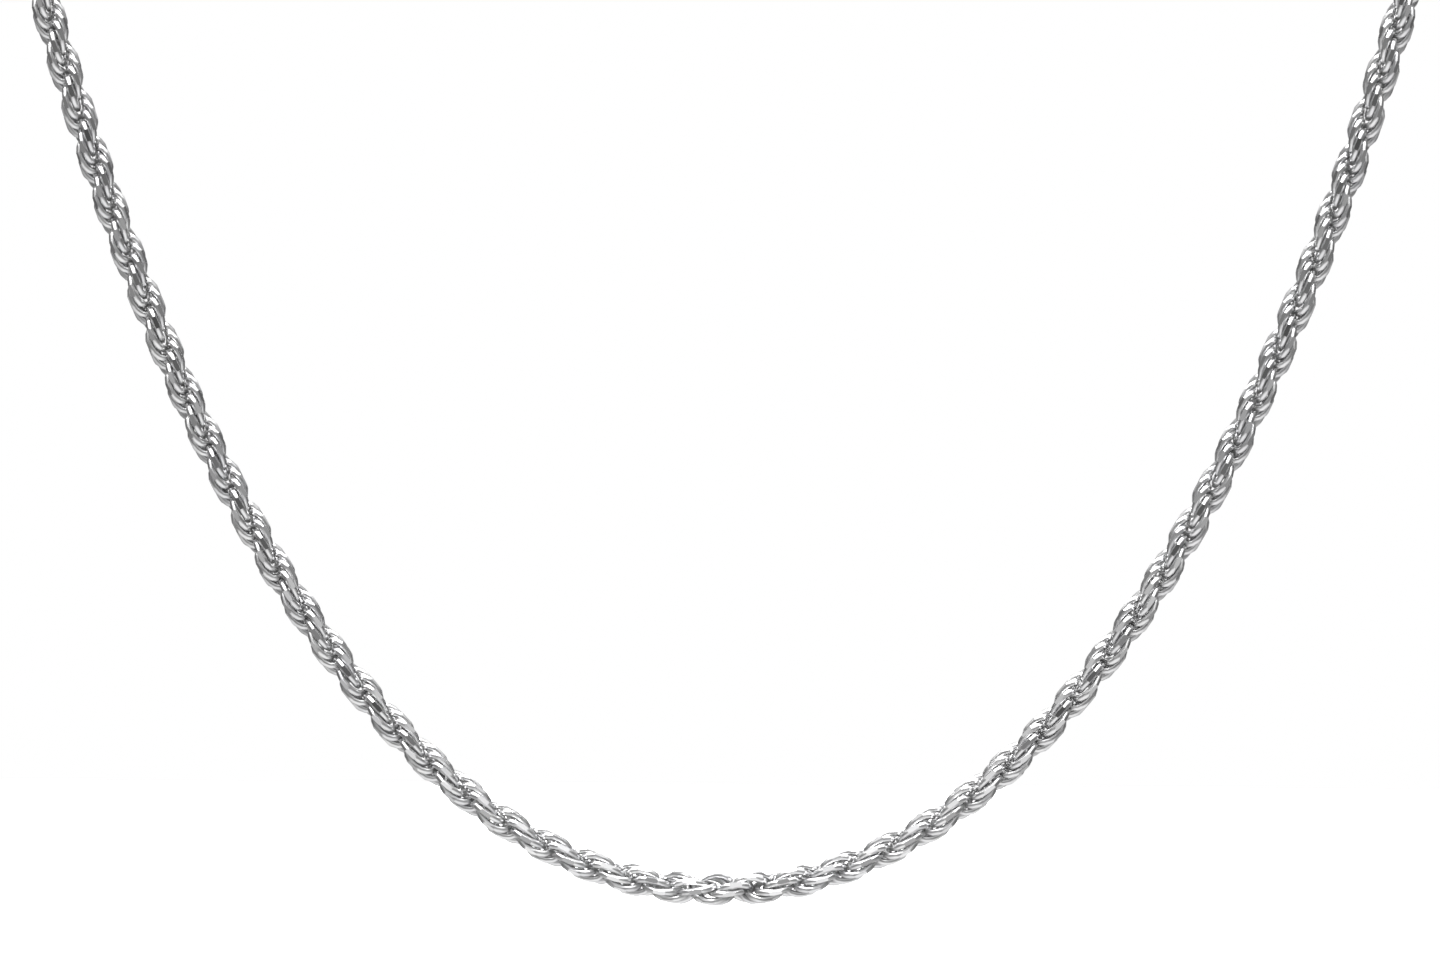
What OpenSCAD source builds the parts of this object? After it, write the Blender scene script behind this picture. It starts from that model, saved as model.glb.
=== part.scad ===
// Twisted rope chain necklace, laid out as it hangs: a free hanging front and a plain way round the neck.
// +X is to the viewer's right, +Y runs from the front back to the nape, +Z is up.
// The origin is the middle of the neck, level with the clasp at the nape.
// The rope is hundreds of small linked rings; each half of it is a plain tube of the rope's thickness here.

/* [Rope] */
// Thickness of the twisted rope across its widest point
rope_d = 3; // [2.4:0.1:3.2]
// Sides of the tube that holds the rope's place
tube_sides = 8; // [8:1:12]
// Spacing of the tube's sections, in rope thicknesses
section_step = 2.2; // [2:0.1:3]
// Gap between the two halves at the lowest point
middle_gap = 0.1; // [0.05:0.05:0.3]

/* [Hanging front] */
// Catenary constant: a smaller value hangs narrower and deeper
drape = 31.5; // [29:0.5:34]
// Height over which the front hangs flat, above its lowest point
front_h = 80; // [70:1:90]

/* [Way round the neck] */
// Distance from the flat front back to the nape
neck_depth = 92; // [86:1:100]
// Height of the nape above the top of the flat front
nape_rise = 30; // [20:1:35]
// How strongly the rope runs on upwards before it bends back
side_pull = 45; // [35:1:50]
// How strongly the rope runs sideways out of the clasp
nape_pull = 51.6; // [44:0.2:60]

/* [Clasp] */
// Length of the barrel clasp
clasp_l = 14; // [12:0.5:18]
// Thickness of the barrel clasp
clasp_d = 4.8; // [4.4:0.1:5.5]
// Depth of the cup in each end of the clasp, where the rope is held
cup_depth = 3; // [2:0.5:4]
// Gap all round between the rope and its cup
cup_gap = 0.1; // [0.1:0.05:0.2]
// Thickness that the raised rim at each mouth adds to the radius
rim_h = 0.3; // [0.2:0.1:0.4]
// Width of the raised rim at each mouth
rim_w = 1.2; // [0.8:0.1:1.6]

/* [Hidden] */
$fn = 96;

// Place of the lowest point of the rope's middle line
front_y = -neck_depth / 2;
lowest_z = -(front_h + nape_rise);

// The flat front ends where the catenary reaches front_h; its length there is exact
front_len = sqrt(pow(drape + front_h, 2) - pow(drape, 2));
front_half_w = drape * inverse_sinh(front_len / drape);
front_dir = [drape, 0, front_len] / (drape + front_h);

// Control points of the curve from the top of the front round to the clasp's mouth
side_start = [front_half_w, front_y, lowest_z + front_h];
side_end = [clasp_l / 2, neck_depth / 2, 0];
side_curve = [
    side_start,
    side_start + side_pull * front_dir,
    side_end + [nape_pull, 0, 0],
    side_end
];

// Sections along the front and along the curve, about one every section_step thicknesses
front_n = round(front_len / (section_step * rope_d));
side_n = round(front_n * 1.3);

// A direction that no part of the right half runs along, which keeps the tube's sides from turning over
steady = [1, 1, -1];

function inverse_sinh(v) = ln(v + sqrt(v * v + 1));

// A point of the hanging front, at the length s from the lowest point
function front_point(s) = [
    drape * inverse_sinh(s / drape),
    front_y,
    lowest_z + sqrt(drape * drape + s * s) - drape
];

// A point of the curve round the neck, at t from 0 to 1
function side_point(t) =
    pow(1 - t, 3) * side_curve[0]
    + 3 * pow(1 - t, 2) * t * side_curve[1]
    + 3 * (1 - t) * t * t * side_curve[2]
    + pow(t, 3) * side_curve[3];

// The whole right half, from the lowest point to the bottom of the clasp's cup
right_route = concat(
    [for (i = [0 : front_n - 1]) front_point(middle_gap / 2 + (front_len - middle_gap / 2) * i / front_n)],
    [for (i = [0 : side_n]) side_point(i / side_n)],
    [side_end - [cup_depth - cup_gap, 0, 0]]
);

function unit(v) = v / norm(v);

// The way the route runs at point i; both ends are cut square to their own last stretch
function heading(route, i) =
    i == 0 ? [1, 0, 0]
    : i == len(route) - 1 ? unit(route[i] - route[i - 1])
    : unit(unit(route[i + 1] - route[i]) + unit(route[i] - route[i - 1]));

// One ring of corner points square to the route
function section(centre, along, r, sides) =
    let (
        across = unit(steady - (steady * along) * along),
        up = cross(along, across)
    )
    [for (k = [0 : sides - 1]) centre + r * (cos(360 * k / sides) * across + sin(360 * k / sides) * up)];

// Closed tube through all the points of a route
module tube(route, d, sides) {
    last = len(route) - 1;
    corners = [for (i = [0 : last]) each section(route[i], heading(route, i), d / 2, sides)];
    walls = [
        for (i = [0 : last - 1], k = [0 : sides - 1])
            let (
                a = i * sides + k,
                b = i * sides + (k + 1) % sides
            )
            each [[a, a + sides, b + sides], [a, b + sides, b]]
    ];
    start_cap = [for (k = [0 : sides - 1]) k];
    end_cap = [for (k = [sides - 1 : -1 : 0]) last * sides + k];
    polyhedron(points = corners, faces = concat([start_cap], walls, [end_cap]));
}

// The half of the rope on the viewer's right
module chain_right() {
    color("silver") tube(right_route, rope_d, tube_sides);
}

// The half of the rope on the viewer's left, its mirror image
module chain_left() {
    color("silver") mirror([1, 0, 0]) tube(right_route, rope_d, tube_sides);
}

// Half of the clasp's outline, from its middle to one mouth: x is the radius, y runs along the barrel
module clasp_outline() {
    half_l = clasp_l / 2;
    rim_round = rim_w / 2;
    difference() {
        union() {
            square([clasp_d / 2 - rim_h, half_l - rim_round]);
            translate([0, half_l - rim_w]) square([clasp_d / 2 - rim_round, rim_w]);
            translate([clasp_d / 2 - rim_round, half_l - rim_round]) circle(r = rim_round);
        }
        translate([0, half_l - cup_depth]) square([rope_d / 2 + cup_gap, cup_depth + 1]);
    }
}

// Plain barrel clasp at the nape, with a cup in each end for the rope
module clasp() {
    color("silver") translate([0, neck_depth / 2, 0]) rotate([0, 90, 0]) rotate_extrude() {
        clasp_outline();
        mirror([0, 1, 0]) clasp_outline();
    }
}

chain_left();
chain_right();
clasp();
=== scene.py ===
import bisect
import math
import random

import bmesh
import bpy
from mathutils import Matrix, Vector


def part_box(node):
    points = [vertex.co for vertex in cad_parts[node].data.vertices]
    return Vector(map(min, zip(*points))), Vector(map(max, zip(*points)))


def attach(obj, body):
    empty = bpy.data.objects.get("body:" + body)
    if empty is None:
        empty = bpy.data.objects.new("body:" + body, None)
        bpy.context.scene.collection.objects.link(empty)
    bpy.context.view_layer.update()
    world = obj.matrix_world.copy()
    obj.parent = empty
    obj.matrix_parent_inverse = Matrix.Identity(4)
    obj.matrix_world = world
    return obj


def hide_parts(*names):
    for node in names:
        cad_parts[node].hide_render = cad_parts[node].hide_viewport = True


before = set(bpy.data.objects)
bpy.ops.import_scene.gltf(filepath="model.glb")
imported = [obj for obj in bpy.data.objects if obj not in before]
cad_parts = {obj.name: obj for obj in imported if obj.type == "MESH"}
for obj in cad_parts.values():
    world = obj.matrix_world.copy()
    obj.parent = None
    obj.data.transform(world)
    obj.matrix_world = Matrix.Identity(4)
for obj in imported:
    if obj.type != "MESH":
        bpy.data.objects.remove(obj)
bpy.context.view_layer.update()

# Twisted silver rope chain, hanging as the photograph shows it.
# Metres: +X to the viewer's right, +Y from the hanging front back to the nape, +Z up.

# The photograph: its size, the real size of a pixel at the hanging front, and the rope's lowest point
PHOTO_WIDTH = 1440
PHOTO_HEIGHT = 959
PIXEL = 0.00008955
LOWEST_PIXEL = (717.4, 889.9)
PHOTO_TURN = math.radians(-0.4)

# The camera stands far back, so the hanging front is seen square on
CAMERA_DISTANCE = 1.2
SENSOR_WIDTH = 36.0
FARTHEST_SEEN = 20.0

# The rope's line, with the same driving sizes as the source
DRAPE = 0.0315
FRONT_HEIGHT = 0.080
NAPE_RISE = 0.030
SIDE_PULL = 0.045
NAPE_PULL = 0.0516

# How far the rope's end reaches into the clasp's cup
END_IN_CUP = 0.0029

# How close the points of the line are, and how many more of them run round the neck than up the front
LINE_STEP = 0.0002
SIDE_SHARE = 1.3

# The rope's twist: how far along it a link's edge needs to turn by half a turn, and the links on that way
HALF_TWIST = 0.004449
LINKS_IN_HALF_TWIST = 5.24
LINK_STEP = HALF_TWIST / LINKS_IN_HALF_TWIST

# The first place where the links stand edge on, and how far the twist lags behind near the lowest bend
FIRST_NECK = -0.00018
BEND_LAG = 0.00222
BEND_LAG_LENGTH = 0.0124

# One link: a round wire bent into an oval, with the gap through which the next links were hung.
# The link that stands four places further on runs through the gap.
LINK_RADIUS = 0.00125
LINK_LENGTHENED = 1.3
WIRE_RADIUS = 0.000325
LINK_GAP = math.radians(60)
LINK_SIDES = 14
WIRE_SIDES = 6

# Half of a link's width once the cutter has taken a flat off each of its long sides
LINK_CUT = 0.00145

# The twist turns over at the lowest point, and these rows keep the wires of the links there apart.
# They weren't chosen by hand: a search program outside this script made them, for a slightly narrower link.
# The key is the link's number. The columns are its turn and lean in degrees, then its shift in millimetres
# along the rope, along the link's own edge direction and across the link.
MIDDLE_LINKS = {
    -4: (5, -1, 0.27, -0.02, -0.02),
    -3: (6, 2, 0.0, 0.07, 0.04),
    -2: (8, 12, 0.23, 0.13, -0.13),
    -1: (20, -6, -0.14, -0.05, 0.0),
    0: (12, 8, -0.14, -0.07, 0.14),
    1: (-27, -6, 0.16, -0.10, 0.05),
    2: (-18, -2, -0.07, 0.01, -0.03),
    3: (-14, 1, 0.40, -0.01, -0.04),
    4: (-7, 2, 0.19, 0.03, -0.02),
}
OTHER_LINK = (0, 0, 0, 0, 0)
MILLIMETRES = 1000

# What hand assembly leaves uneven from link to link
UNEVEN_TURN = math.radians(1.2)
UNEVEN_TILT = math.radians(0.9)
UNEVEN_PLACE = 0.00001
SEED = 11

# The wire's silver: the tones of its links, how rough it is as drawn and on its flats, and its fine marks
WIRE_GREYEST = (0.80, 0.80, 0.81, 1.0)
WIRE_BRIGHTEST = (0.90, 0.90, 0.90, 1.0)
WIRE_ROUGHNESS = 0.27
FLAT_ROUGHNESS = 0.06
WIRE_CLOUD_SCALE = 700.0
DRAWN_MARK_SCALE = 9000.0
WIRE_MARK_HEIGHT = 0.000004
WIRE_MARK_STRENGTH = 0.35

# The duller tarnish down between the strands, partly painted shade in these recesses: its tone, where it
# starts and is full, and how rough it is
TARNISH_AND_SHADE_TONE = (0.48, 0.48, 0.48, 1.0)
TARNISH_AND_SHADE_START = 0.35
TARNISH_AND_SHADE_FULL = 0.95
FILM_ROUGHER = 0.15

# The clasp's silver: its tones, how rough it is, and the lines that turning left round the barrel
CLASP_GREYEST = (0.78, 0.78, 0.79, 1.0)
CLASP_BRIGHTEST = (0.88, 0.88, 0.88, 1.0)
CLASP_ROUGHNESS = 0.16
CLASP_CLOUD_SCALE = 420.0
TURNED_LINE_SCALES = (14000.0, 260.0, 260.0)
TURNED_LINE_HEIGHT = 0.000006
TURNED_LINE_STRENGTH = 0.4

NOISE_ROUGHNESS = 0.55

# How bright the surround is: the walls, and what each other part of it adds to them
WALL_LEVEL = 0.43
LAMP_LEVEL = 7.0
CEILING_LEVEL = 0.88
TABLE_LEVEL = 0.6
BEHIND_LEVEL = 0.12
SIDE_LEVEL = -0.3
FRONT_LEVEL = -0.36

# Where each part of the surround lies, and how nearly a direction points there as it starts and is full
LAMP_WAY = (-0.08, -0.12, 1.0)
LAMP_START = 0.82
LAMP_FULL = 0.90
CEILING_WAY = (0.0, -0.25, 1.0)
CEILING_START = 0.3
CEILING_FULL = 1.0
TABLE_WAY = (0.0, -0.3, -1.0)
TABLE_START = 0.15
TABLE_FULL = 0.95
BEHIND_START = 0.55
BEHIND_FULL = 0.95
SIDE_START = 0.38
SIDE_FULL = 0.8
FRONT_START = 0.84
FRONT_FULL = 0.90

WHITE = (1.0, 1.0, 1.0, 1.0)

# The key light: its power, its size, how far in front of the rope it hangs, and its place across and up
KEY_POWER = 0.8
KEY_SIZE = (0.5, 0.4)
KEY_IN_FRONT = 0.25
KEY_ACROSS = -0.12
KEY_HEIGHT = 0.9

# The floor's paper under the rope and further out, how far below the rope it lies, and where its tone changes
FLOOR_NEAR = (0.31, 0.31, 0.31, 1.0)
FLOOR_FAR = (0.9, 0.9, 0.9, 1.0)
FLOOR_NEAR_REACH = 0.1
FLOOR_FAR_REACH = 1.2
FLOOR_ROUGHNESS = 0.9
FLOOR_BELOW = 0.06
FLOOR_HALF_WIDTH = 3.0

clasp_low, clasp_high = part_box("clasp")
mouth_x = clasp_high[0]
nape_y = (clasp_low[1] + clasp_high[1]) / 2
nape_z = (clasp_low[2] + clasp_high[2]) / 2
front_y = -nape_y
lowest_z = nape_z - FRONT_HEIGHT - NAPE_RISE


# Shader sockets with plain arithmetic

class Socket:
    """An output of a node; arithmetic on it adds the Math nodes."""

    def __init__(self, tree, link):
        self.tree = tree
        self.link = link

    def node(self, kind, settings, inputs, output=0):
        """Any node: its type, its settings, then the values or links of its sockets."""
        made = self.tree.nodes.new(kind)
        for name, value in settings.items():
            setattr(made, name, value)
        for name, value in inputs.items():
            if isinstance(value, Socket):
                self.tree.links.new(value.link, made.inputs[name])
            else:
                made.inputs[name].default_value = value
        return Socket(self.tree, made.outputs[output])

    def math(self, operation, first, second=0.0):
        return self.node("ShaderNodeMath", {"operation": operation}, {0: first, 1: second})

    def __add__(self, other):
        return self.math("ADD", self, other)

    def __radd__(self, other):
        return self.math("ADD", other, self)

    def __sub__(self, other):
        return self.math("SUBTRACT", self, other)

    def __rsub__(self, other):
        return self.math("SUBTRACT", other, self)

    def __mul__(self, other):
        return self.math("MULTIPLY", self, other)

    def __rmul__(self, other):
        return self.math("MULTIPLY", other, self)

    def clamped(self):
        return self.node("ShaderNodeClamp", {}, {"Value": self})

    def between(self, low, high):
        """0 below low, 1 above high and smooth between."""
        return self.node(
            "ShaderNodeMapRange",
            {"interpolation_type": "SMOOTHSTEP"},
            {"Value": self, "From Min": low, "From Max": high},
        )

    def mixed(self, low_colour, high_colour):
        """A colour between two, by this value."""
        return self.node(
            "ShaderNodeMix",
            {"data_type": "RGBA"},
            {0: self, 6: low_colour, 7: high_colour},
            2,
        )


def new_surface(name):
    """A new material, its shader, and the start of its expressions."""
    material = bpy.data.materials.new(name)
    material.use_nodes = True
    tree = material.node_tree
    return material, tree.nodes["Principled BSDF"], Socket(tree, None)


def new_metal(name):
    material, shader, start = new_surface(name)
    shader.inputs["Metallic"].default_value = 1.0
    return material, shader, start


def object_place(start):
    return start.node("ShaderNodeTexCoord", {}, {}, "Object")


def own_value(start, name):
    """A value that the mesh itself holds."""
    return start.node("ShaderNodeAttribute", {"attribute_name": name}, {}, "Fac")


def noise(start, place, scale, detail):
    return start.node(
        "ShaderNodeTexNoise",
        {},
        {"Vector": place, "Scale": scale, "Detail": detail, "Roughness": NOISE_ROUGHNESS},
    )


def stretched(start, place, scales):
    """Object coordinates drawn out along some of the axes."""
    return start.node("ShaderNodeMapping", {}, {"Vector": place, "Scale": scales})


def connect(shader, socket_name, value):
    value.tree.links.new(value.link, shader.inputs[socket_name])


def bumped(start, shader, height, distance, strength):
    normal = start.node(
        "ShaderNodeBump", {}, {"Height": height, "Distance": distance, "Strength": strength}
    )
    connect(shader, "Normal", normal)


# Finishes

def rope_silver():
    """Polished silver wire: mirror-smooth on its flats, duller and greyer down between the strands, partly
    tarnish and partly painted shade.
    """
    material, shader, start = new_metal("rope_silver_wire")
    place = object_place(start)
    cloud = noise(start, place, WIRE_CLOUD_SCALE, 3.0)
    drawn = noise(start, place, DRAWN_MARK_SCALE, 2.0)
    # Painted shade: the base colour greys towards the rope's middle, partly tarnish and partly shade in the
    # recesses.
    deep = own_value(start, "depth").between(TARNISH_AND_SHADE_START, TARNISH_AND_SHADE_FULL)
    tarnish_and_shade = (deep * (0.75 + cloud * 0.5)).clamped()
    bright = own_value(start, "tone").mixed(WIRE_GREYEST, WIRE_BRIGHTEST)
    connect(shader, "Base Color", tarnish_and_shade.mixed(bright, TARNISH_AND_SHADE_TONE))
    wire = WIRE_ROUGHNESS + cloud * 0.06 + drawn * 0.05 + tarnish_and_shade * FILM_ROUGHER
    flat = own_value(start, "flat")
    connect(shader, "Roughness", wire + flat * (FLAT_ROUGHNESS - wire))
    bumped(start, shader, drawn * 0.6 + cloud * 0.4, WIRE_MARK_HEIGHT, WIRE_MARK_STRENGTH)
    return material


def clasp_silver():
    """The clasp's turned silver: fine lines round the barrel and faint wear clouds."""
    material, shader, start = new_metal("clasp_turned_silver")
    place = object_place(start)
    lines = noise(start, stretched(start, place, TURNED_LINE_SCALES), 1.0, 3.0)
    cloud = noise(start, place, CLASP_CLOUD_SCALE, 4.0)
    rubbed = cloud.between(0.4, 0.7)
    connect(shader, "Base Color", rubbed.mixed(CLASP_GREYEST, CLASP_BRIGHTEST))
    connect(shader, "Roughness", CLASP_ROUGHNESS + lines * 0.10 + cloud * 0.08)
    bumped(start, shader, lines * 0.8 + cloud * 0.2, TURNED_LINE_HEIGHT, TURNED_LINE_STRENGTH)
    return material


def floor_paper():
    """Matt paper, pale under the rope and white further out, where it meets the white behind."""
    material, shader, start = new_surface("floor_paper")
    shader.inputs["Roughness"].default_value = FLOOR_ROUGHNESS
    far = start.node("ShaderNodeVectorMath", {"operation": "LENGTH"}, {0: object_place(start)}, "Value")
    outwards = far.between(FLOOR_NEAR_REACH, FLOOR_FAR_REACH)
    connect(shader, "Base Color", outwards.mixed(FLOOR_NEAR, FLOOR_FAR))
    return material


# The rope's line

def front_point(length):
    """A point of the hanging front, at a length from the lowest point."""
    return Vector((
        DRAPE * math.asinh(length / DRAPE),
        front_y,
        lowest_z + math.hypot(DRAPE, length) - DRAPE,
    ))


def side_point(corners, t):
    """A point of the curve round the neck, at t from 0 to 1."""
    weights = ((1 - t) ** 3, 3 * (1 - t) ** 2 * t, 3 * (1 - t) * t * t, t ** 3)
    return sum((corner * weight for corner, weight in zip(corners, weights)), Vector((0, 0, 0)))


def right_line():
    """Close points from the lowest point, up the right side and round to the bottom of the clasp's cup."""
    front_length = math.sqrt((DRAPE + FRONT_HEIGHT) ** 2 - DRAPE ** 2)
    top = front_point(front_length)
    heading = Vector((DRAPE, 0, front_length)) / (DRAPE + FRONT_HEIGHT)
    mouth = Vector((mouth_x, nape_y, nape_z))
    corners = (top, top + SIDE_PULL * heading, mouth + Vector((NAPE_PULL, 0, 0)), mouth)
    front_count = round(front_length / LINE_STEP)
    side_count = round(front_count * SIDE_SHARE)
    points = [front_point(front_length * i / front_count) for i in range(front_count)]
    points += [side_point(corners, i / side_count) for i in range(side_count + 1)]
    points.append(mouth - Vector((END_IN_CUP, 0, 0)))
    return points


class Line:
    """The rope's middle line by length, with an inner side that never twists round it."""

    def __init__(self, points):
        self.points = points
        self.lengths = [0.0]
        for before, after in zip(points, points[1:]):
            self.lengths.append(self.lengths[-1] + (after - before).length)
        self.inner = []
        side = Vector((0, 0, 1))
        for i in range(len(points) - 1):
            along = self.heading(i)
            side = (side - side.dot(along) * along).normalized()
            self.inner.append(side)

    def heading(self, i):
        return (self.points[i + 1] - self.points[i]).normalized()

    def place(self, length):
        """The point at a length, the way the line runs there, and its inner side."""
        i = min(bisect.bisect_right(self.lengths, length), len(self.inner)) - 1
        along = self.heading(i)
        return self.points[i] + along * (length - self.lengths[i]), along, self.inner[i]


# The links

def oval_place(place):
    """Where a point of the round link goes when the link is drawn out lengthways."""
    angle = math.atan2(place.y, place.x)
    middle = Vector((math.cos(angle), LINK_LENGTHENED * math.sin(angle), 0)) * LINK_RADIUS
    outwards = Vector((LINK_LENGTHENED * math.cos(angle), math.sin(angle), 0)).normalized()
    return middle + outwards * (math.hypot(place.x, place.y) - LINK_RADIUS) + Vector((0, 0, place.z))


def cut_flat(shape, flat_layer, side):
    """The crisp flat that the cutter leaves on one long side of the link."""
    geometry = shape.verts[:] + shape.edges[:] + shape.faces[:]
    cut = bmesh.ops.bisect_plane(
        shape, geom=geometry, plane_co=(side * LINK_CUT, 0, 0), plane_no=(side, 0, 0), clear_outer=True,
    )
    rim = [edge for edge in cut["geom_cut"] if isinstance(edge, bmesh.types.BMEdge)]
    for face in bmesh.ops.contextual_create(shape, geom=rim)["faces"]:
        face[flat_layer] = 1.0
    for edge in rim:
        edge.smooth = False


def link_shape():
    """One link: its wire spun nearly all the way round, closed at both sides of its gap, and cut flat."""
    shape = bmesh.new()
    turn = Matrix.Rotation(math.radians(90), 4, "X")
    circle = bmesh.ops.create_circle(
        shape, segments=WIRE_SIDES, radius=WIRE_RADIUS, cap_ends=True,
        matrix=Matrix.Translation((LINK_RADIUS, 0, 0)) @ turn,
    )
    around = Matrix.Rotation(math.radians(90) + LINK_GAP / 2, 4, "Z")
    bmesh.ops.transform(shape, matrix=around, verts=circle["verts"])
    bmesh.ops.spin(
        shape, geom=shape.verts[:] + shape.edges[:] + shape.faces[:], cent=(0, 0, 0), axis=(0, 0, 1),
        angle=2 * math.pi - LINK_GAP, steps=LINK_SIDES, use_duplicate=False,
    )
    for vert in shape.verts:
        vert.co = oval_place(vert.co)
    bmesh.ops.recalc_face_normals(shape, faces=shape.faces[:])
    flat_layer = shape.faces.layers.float.new("flat")
    for side in (-1, 1):
        cut_flat(shape, flat_layer, side)
    return shape


def link_places(line, side):
    """Each link of one half, laid out on the right: its middle, its plane's two directions and its tone."""
    draw = random.Random(SEED + side)
    end = line.lengths[-1] - LINK_RADIUS * LINK_LENGTHENED - WIRE_RADIUS
    first = 0 if side > 0 else 1
    for number in range(first, int(end / LINK_STEP) + 1):
        length = number * LINK_STEP
        point, along, inner = line.place(length)
        outward = along.cross(inner)
        neck = FIRST_NECK + BEND_LAG * math.exp(-length / BEND_LAG_LENGTH)
        turned, leant, *moved = MIDDLE_LINKS.get(side * number, OTHER_LINK)
        turn = math.pi * (0.5 - (length - neck) / HALF_TWIST)
        turn += math.radians(turned) + draw.gauss(0, UNEVEN_TURN)
        tilt = math.radians(leant) + draw.gauss(0, UNEVEN_TILT)
        edge = math.cos(turn) * inner + math.sin(turn) * outward
        across = -math.sin(turn) * inner + math.cos(turn) * outward
        length_way = math.sin(tilt) * across + math.cos(tilt) * along
        shift = draw.gauss(0, UNEVEN_PLACE) * edge + draw.gauss(0, UNEVEN_PLACE) * across
        shift += (moved[0] * along + moved[1] * edge + moved[2] * across) / MILLIMETRES
        yield point + shift, edge, length_way, draw.random()


def link_matrix(point, edge, length_way, side):
    """Takes the link to its place; the left half is laid out on the right and carried over."""
    for direction in (point, edge, length_way):
        direction.x *= side
    axes = Matrix((edge, length_way, edge.cross(length_way))).transposed()
    return Matrix.Translation(point) @ axes.to_4x4()


def rope_half(side):
    """The links of one half in one mesh, with each point's depth, each link's tone and the flats marked."""
    shape = link_shape()
    flats = [face[shape.faces.layers.float["flat"]] for face in shape.faces]
    depths = [1.0 - math.hypot(vert.co.x, vert.co.z) / (LINK_RADIUS + WIRE_RADIUS) for vert in shape.verts]
    link_mesh = bpy.data.meshes.new("link")
    shape.to_mesh(link_mesh)
    shape.free()
    rope = bmesh.new()
    depth_layer = rope.verts.layers.float.new("depth")
    tone_layer = rope.verts.layers.float.new("tone")
    flat_layer = rope.faces.layers.float.new("flat")
    for point, edge, length_way, tone in link_places(Line(right_line()), side):
        first_vert = len(rope.verts)
        first_face = len(rope.faces)
        rope.from_mesh(link_mesh)
        rope.verts.ensure_lookup_table()
        rope.faces.ensure_lookup_table()
        added = rope.verts[first_vert:]
        bmesh.ops.transform(rope, matrix=link_matrix(point, edge, length_way, side), verts=added)
        for vert, depth in zip(added, depths):
            vert[depth_layer] = depth
            vert[tone_layer] = tone
        for face, flat in zip(rope.faces[first_face:], flats):
            face[flat_layer] = flat
    bpy.data.meshes.remove(link_mesh)
    return rope


def make_rope(name, side, material, node):
    """One half of the rope, which stands for the plain tube of that half."""
    rope = rope_half(side)
    mesh = bpy.data.meshes.new(name)
    rope.to_mesh(mesh)
    rope.free()
    mesh.shade_smooth()
    mesh.materials.append(material)
    piece = bpy.data.objects.new(name, mesh)
    bpy.context.collection.objects.link(piece)
    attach(piece, "root")
    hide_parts(node)


def finish_clasp():
    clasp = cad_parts["clasp"]
    material = clasp_silver()
    if not clasp.data.materials:
        clasp.data.materials.append(material)
    for slot in clasp.material_slots:
        slot.material = material


# Camera, floor and light

def make_camera():
    """A long lens square on to the hanging front, framed as the photograph is."""
    width = PHOTO_WIDTH * PIXEL
    turned = Matrix.Rotation(PHOTO_TURN, 3, "Y")
    right_of_middle = (LOWEST_PIXEL[0] - PHOTO_WIDTH / 2) * PIXEL
    above_middle = (PHOTO_HEIGHT / 2 - LOWEST_PIXEL[1]) * PIXEL
    middle = Vector((0, front_y, lowest_z)) - turned @ Vector((right_of_middle, 0, above_middle))
    data = bpy.data.cameras.new("camera")
    data.sensor_width = SENSOR_WIDTH
    data.lens = SENSOR_WIDTH * CAMERA_DISTANCE / width
    data.clip_end = FARTHEST_SEEN
    camera = bpy.data.objects.new("camera", data)
    camera.location = middle - Vector((0, CAMERA_DISTANCE, 0))
    camera.rotation_euler = (math.radians(90), PHOTO_TURN, 0)
    bpy.context.collection.objects.link(camera)
    bpy.context.scene.camera = camera


def make_floor():
    shape = bmesh.new()
    bmesh.ops.create_grid(shape, x_segments=1, y_segments=1, size=FLOOR_HALF_WIDTH)
    bmesh.ops.translate(shape, vec=(0, 0, lowest_z - FLOOR_BELOW), verts=shape.verts[:])
    mesh = bpy.data.meshes.new("floor")
    shape.to_mesh(mesh)
    shape.free()
    mesh.materials.append(floor_paper())
    floor = bpy.data.objects.new("floor", mesh)
    bpy.context.collection.objects.link(floor)
    floor.visible_glossy = False


def make_key_light():
    """One weak soft box above the rope and in front of it."""
    data = bpy.data.lights.new("light_key", "AREA")
    data.shape = "RECTANGLE"
    data.size, data.size_y = KEY_SIZE
    data.energy = KEY_POWER
    light = bpy.data.objects.new("light_key", data)
    place = Vector((KEY_ACROSS, front_y - KEY_IN_FRONT, KEY_HEIGHT))
    target = Vector((0.0, front_y, lowest_z / 2))
    light.location = place
    light.rotation_euler = (target - place).to_track_quat("-Z", "Y").to_euler()
    bpy.context.collection.objects.link(light)


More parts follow.
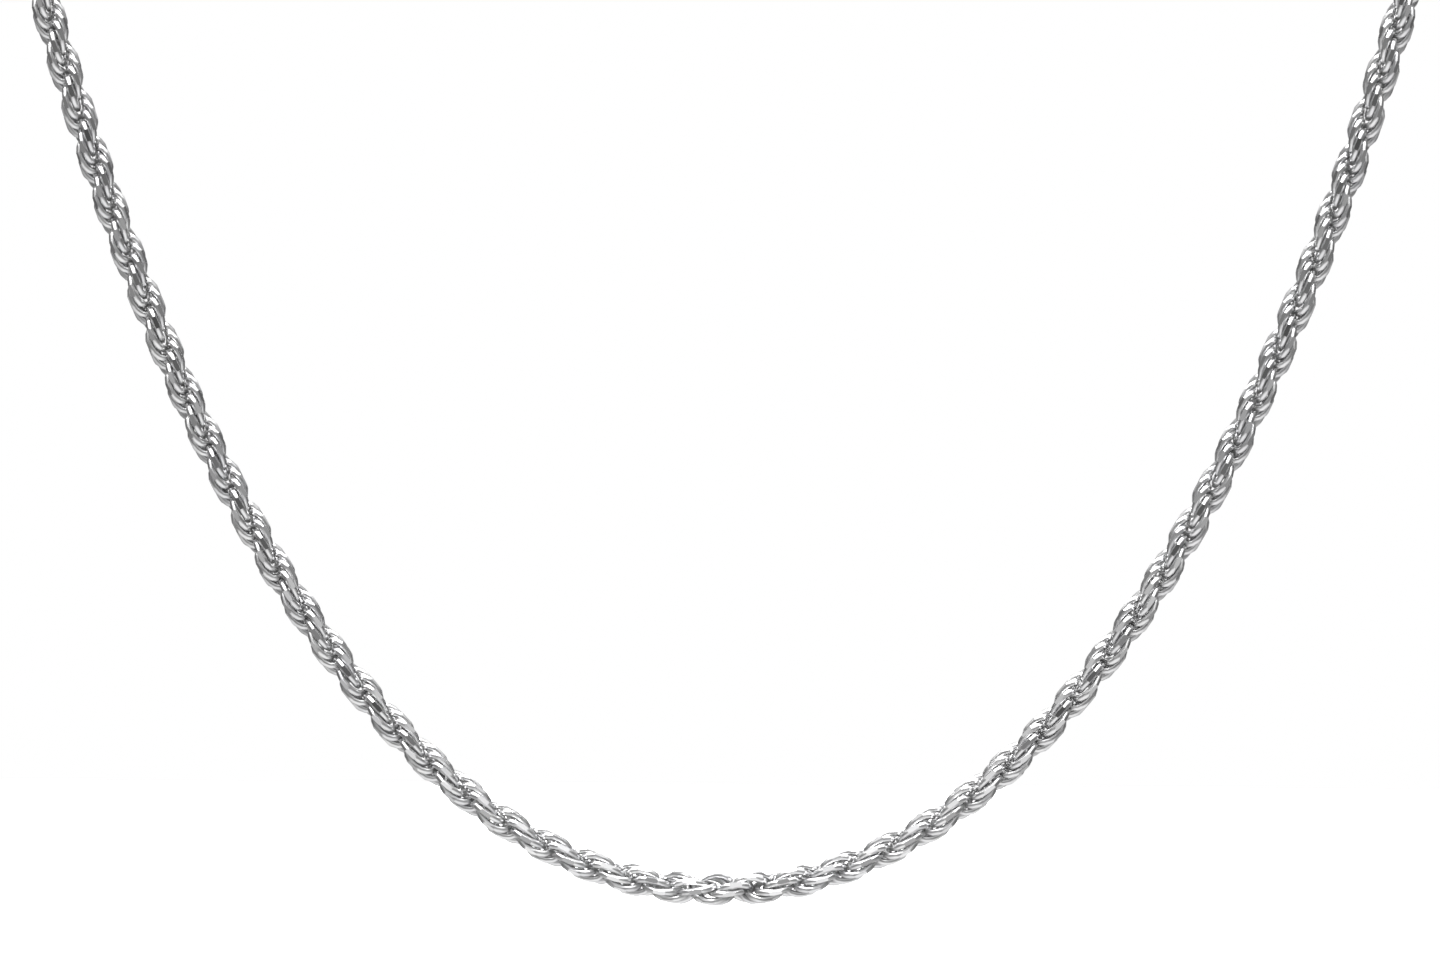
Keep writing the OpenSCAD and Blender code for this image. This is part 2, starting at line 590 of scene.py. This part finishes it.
def towards(parts, direction):
    """How nearly a world direction points the given way: 1 straight along it, 0 square to it."""
    length = math.sqrt(sum(part * part for part in direction))
    return sum(part * (value / length) for part, value in zip(parts, direction))


def surround_level(start):
    """How bright the surround is each way: a lamp and pale ceiling, a table, darker sides and front."""
    way = start.node("ShaderNodeTexCoord", {}, {}, "Generated")
    parts = [start.node("ShaderNodeSeparateXYZ", {}, {"Vector": way}, axis) for axis in "XYZ"]
    lamp = towards(parts, LAMP_WAY).between(LAMP_START, LAMP_FULL)
    ceiling = towards(parts, CEILING_WAY).between(CEILING_START, CEILING_FULL)
    table = towards(parts, TABLE_WAY).between(TABLE_START, TABLE_FULL)
    behind = parts[1].between(BEHIND_START, BEHIND_FULL)
    front = (0.0 - parts[1]).between(FRONT_START, FRONT_FULL)
    side = parts[0].math("ABSOLUTE", parts[0]).between(SIDE_START, SIDE_FULL)
    level = WALL_LEVEL + lamp * LAMP_LEVEL + ceiling * CEILING_LEVEL + table * TABLE_LEVEL
    return level + behind * BEHIND_LEVEL + side * SIDE_LEVEL + front * FRONT_LEVEL


def make_surround():
    """What the silver mirrors all round. The camera itself sees plain white."""
    world = bpy.data.worlds.new("surround")
    bpy.context.scene.world = world
    world.use_nodes = True
    tree = world.node_tree
    tree.nodes.clear()
    start = Socket(tree, None)
    mirrored = start.node("ShaderNodeBackground", {}, {"Color": WHITE, "Strength": surround_level(start)})
    plain = start.node("ShaderNodeBackground", {}, {"Color": WHITE, "Strength": 1.0})
    seen = start.node("ShaderNodeLightPath", {}, {}, "Is Camera Ray")
    both = start.node("ShaderNodeMixShader", {}, {0: seen, 1: mirrored, 2: plain})
    output = tree.nodes.new("ShaderNodeOutputWorld")
    tree.links.new(both.link, output.inputs["Surface"])


def plain_view():
    """Colours come out as they are lit, with no filmic look."""
    settings = bpy.context.scene.view_settings
    settings.view_transform = "Standard"
    settings.look = "None"


make_camera()
wire_silver = rope_silver()
make_rope("rope_right", 1, wire_silver, "chain_right")
make_rope("rope_left", -1, wire_silver, "chain_left")
finish_clasp()
make_floor()
make_key_light()
make_surround()
plain_view()
